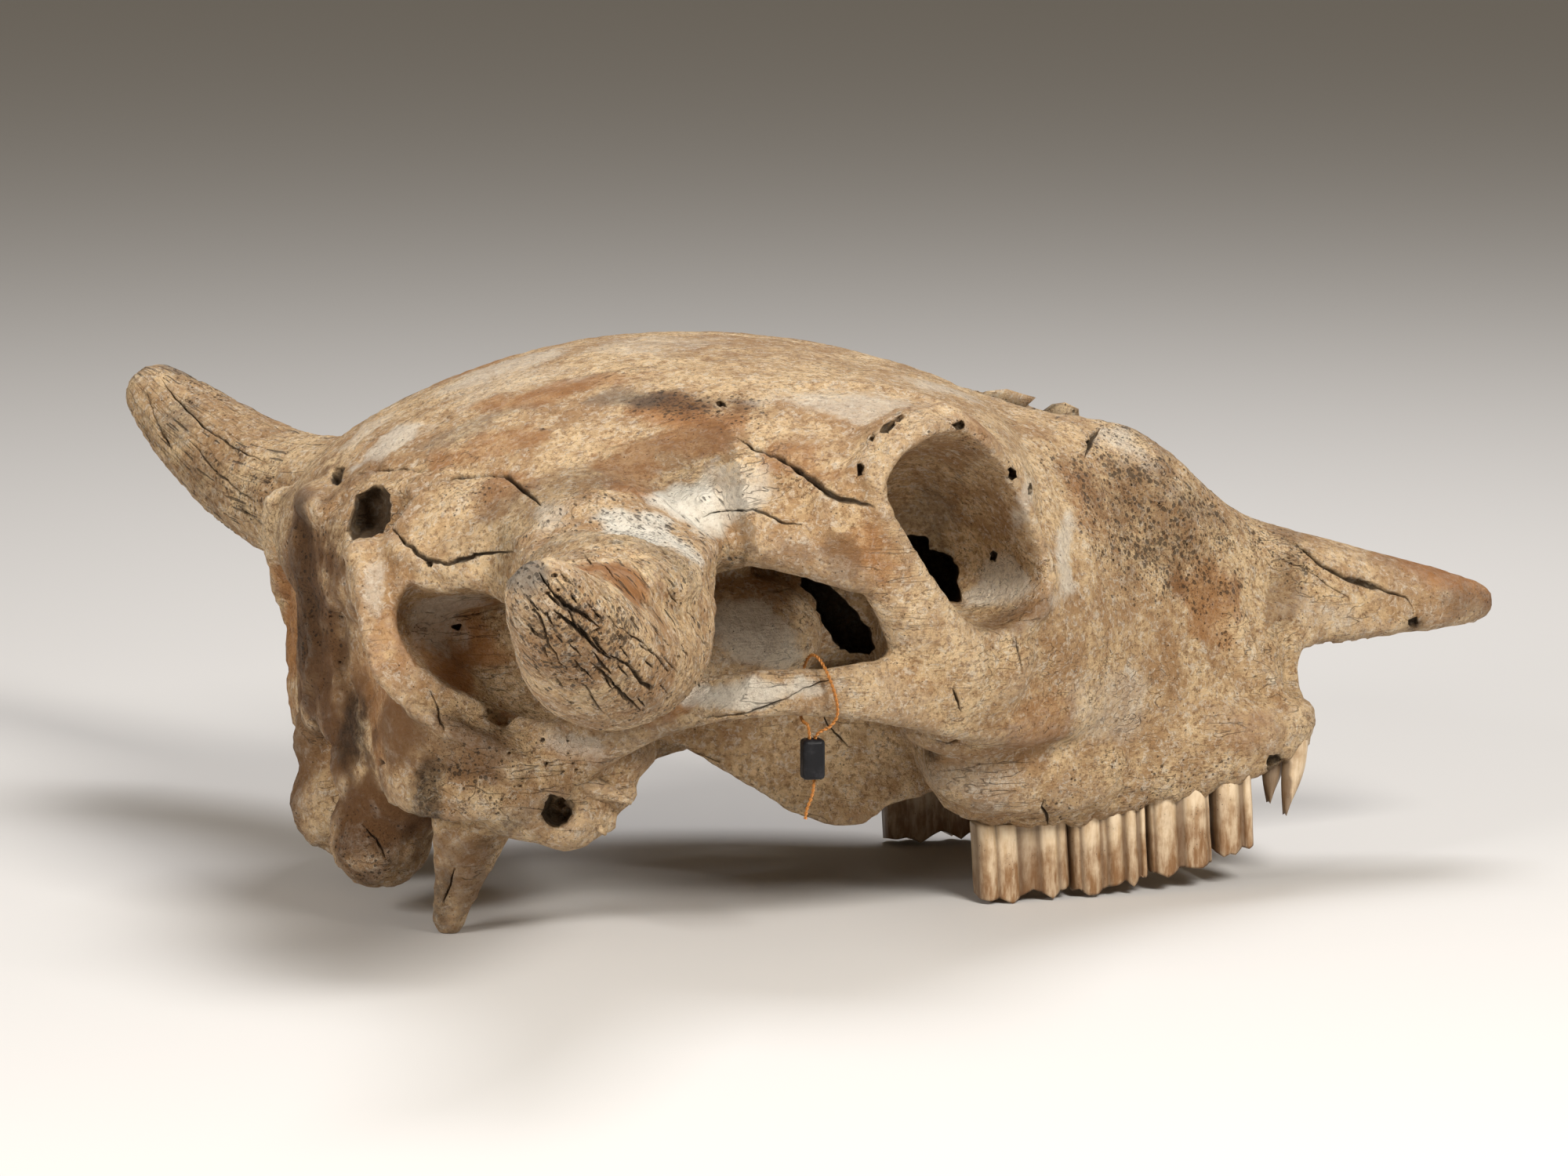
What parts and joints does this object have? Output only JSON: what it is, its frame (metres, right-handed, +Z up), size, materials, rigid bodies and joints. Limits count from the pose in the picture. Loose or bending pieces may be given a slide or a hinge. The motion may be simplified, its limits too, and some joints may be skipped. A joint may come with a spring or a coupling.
{
  "type": "bison skull",
  "caption": "Weathered bison skull with horn cores, cheek teeth in their sockets and a thread with a small seal bead round the cheek arch.",
  "frame": {"origin": "centre of the footprint of the skull's box, on the surface that the skull rests on", "axes": "+X towards the muzzle, +Y towards the animal's left, across the horn cores, +Z up"},
  "size_m": [0.4594, 0.6048, 0.1994],
  "materials": {
    "bone": "dry weathered bone: ivory to ochre, cracked, pitted and matt",
    "tooth": "worn enamel with brown stains, slightly glossy",
    "thread": "twisted copper orange thread with a dull sheen",
    "seal": "black pressed seal, satin with rounded edges"
  },
  "bodies": {
    "root": {"skull": "bone", "molar_3_right": "tooth", "molar_2_right": "tooth", "molar_1_right": "tooth", "premolar_4_right": "tooth", "premolar_3_right": "tooth", "molar_3_left": "tooth", "molar_2_left": "tooth", "molar_1_left": "tooth", "premolar_4_left": "tooth", "premolar_3_left": "tooth", "seal_thread": "thread", "seal_bead": "seal"}
  },
  "joints": []
}
